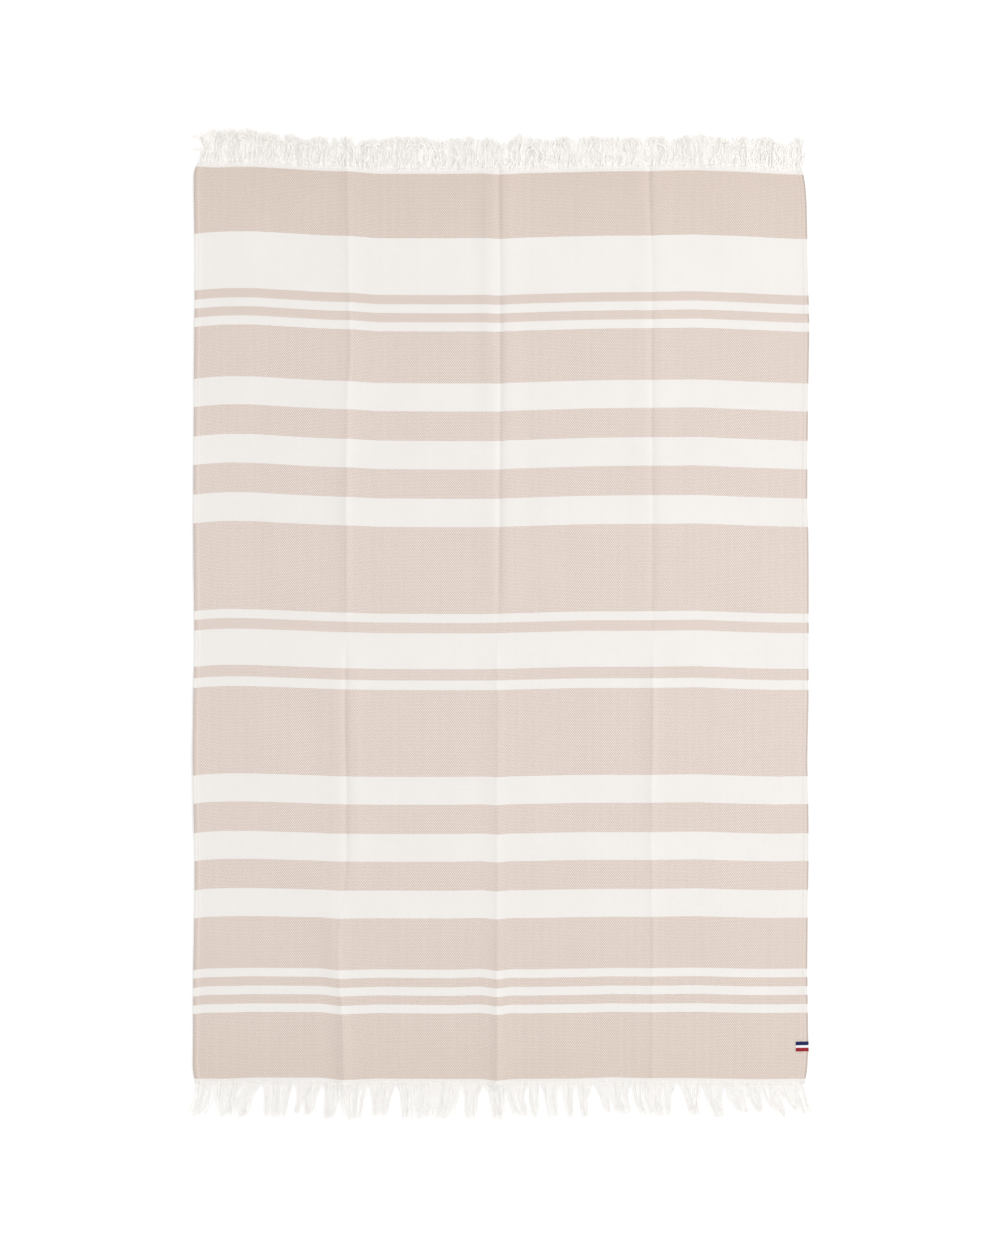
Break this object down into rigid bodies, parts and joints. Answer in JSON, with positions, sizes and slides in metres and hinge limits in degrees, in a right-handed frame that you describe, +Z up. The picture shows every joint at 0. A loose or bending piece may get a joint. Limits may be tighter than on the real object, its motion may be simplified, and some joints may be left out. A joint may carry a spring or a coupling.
{
  "type": "hammam towel",
  "caption": "Flat-woven cotton hammam towel with beige and cream bands across it, hemmed sides, fringed ends and a small folded ribbon at one edge, laid flat.",
  "frame": {"origin": "on the floor under the middle of the laid towel", "axes": "+X to the right across the towel, towards the edge with the ribbon; +Y along the towel, towards the end away from the ribbon; +Z up, out of the face side"},
  "size_m": [1.0088, 1.6077, 0.0068],
  "materials": {
    "cloth": "woven cotton, beige bands with a small diamond weave and smooth cream bands",
    "fringe": "loose cream cotton warp yarn",
    "tag": "woven ribbon in navy, white and red"
  },
  "bodies": {
    "root": {"cloth": "cloth", "fringe_low": "fringe", "fringe_high": "fringe", "tag": "tag"}
  },
  "joints": []
}
